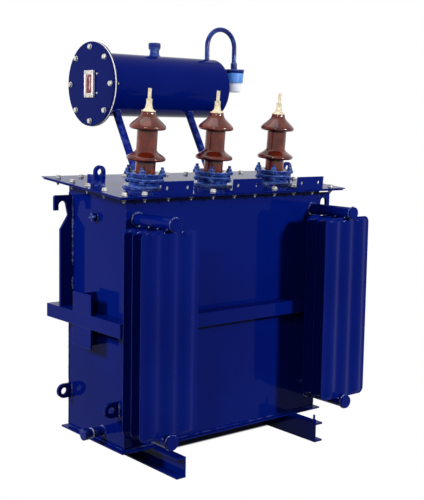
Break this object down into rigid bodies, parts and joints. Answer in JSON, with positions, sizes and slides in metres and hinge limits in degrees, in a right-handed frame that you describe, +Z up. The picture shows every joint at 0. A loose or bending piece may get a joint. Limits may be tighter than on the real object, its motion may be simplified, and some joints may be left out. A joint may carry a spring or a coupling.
{
  "type": "distribution transformer",
  "caption": "Oil-filled distribution transformer: ribbed tank with bolted sloping cover, fluted radiators, brown porcelain bushings, conservator with gauge and breather, on base channels.",
  "frame": {"origin": "on the ground, under the middle of the whole plan outline", "axes": "+Z up, +X to the right along the front, -Y towards the radiators"},
  "size_m": [1.111, 0.8816, 1.641],
  "materials": {
    "blue_paint": "gloss",
    "porcelain": "gloss",
    "terminal_metal": "satin",
    "zinc": "satin",
    "gasket": "matte",
    "pale_gasket": "matte",
    "gauge_metal": "satin",
    "breather_cap": "gloss",
    "breather_bowl": "gloss"
  },
  "bodies": {
    "root": {"tank_body": "blue_paint", "bottom_plate": "blue_paint", "tank_rim": "blue_paint", "cover_gasket": "gasket", "top_cover": "blue_paint", "base_channel_left": "blue_paint", "base_channel_right": "blue_paint", "earthing_stud": "blue_paint", "belt_front": "blue_paint", "belt_rear": "blue_paint", "belt_left": "blue_paint", "belt_right": "blue_paint", "end_pad_left": "blue_paint", "end_pad_right": "blue_paint", "lifting_hook_left": "blue_paint", "lifting_hook_right": "blue_paint", "haulage_lugs": "blue_paint", "cover_lugs": "blue_paint", "left_radiator_inner_panel": "blue_paint", "left_radiator_middle_panel": "blue_paint", "left_radiator_outer_panel": "blue_paint", "left_radiator_headers": "blue_paint", "right_radiator_inner_panel": "blue_paint", "right_radiator_middle_panel": "blue_paint", "right_radiator_outer_panel": "blue_paint", "right_radiator_headers": "blue_paint", "hv_turrets": "blue_paint", "hv_porcelain_left": "porcelain", "hv_porcelain_middle": "porcelain", "hv_porcelain_right": "porcelain", "hv_clamp_rings": "blue_paint", "hv_terminals": "terminal_metal", "arrester_brackets": "blue_paint", "conservator_shell": "blue_paint", "conservator_end_cover": "blue_paint", "conservator_gasket": "pale_gasket", "conservator_far_end": "blue_paint", "conservator_struts": "blue_paint", "oil_gauge": "gauge_metal", "filler_pipe": "blue_paint", "breather_pipe": "blue_paint", "breather_head": "breather_cap", "breather_bowl": "breather_bowl", "drain_pipe": "blue_paint", "top_oil_plug": "blue_paint", "lv_pad": "blue_paint", "lv_porcelains": "porcelain", "lv_terminals": "zinc"}
  },
  "joints": []
}
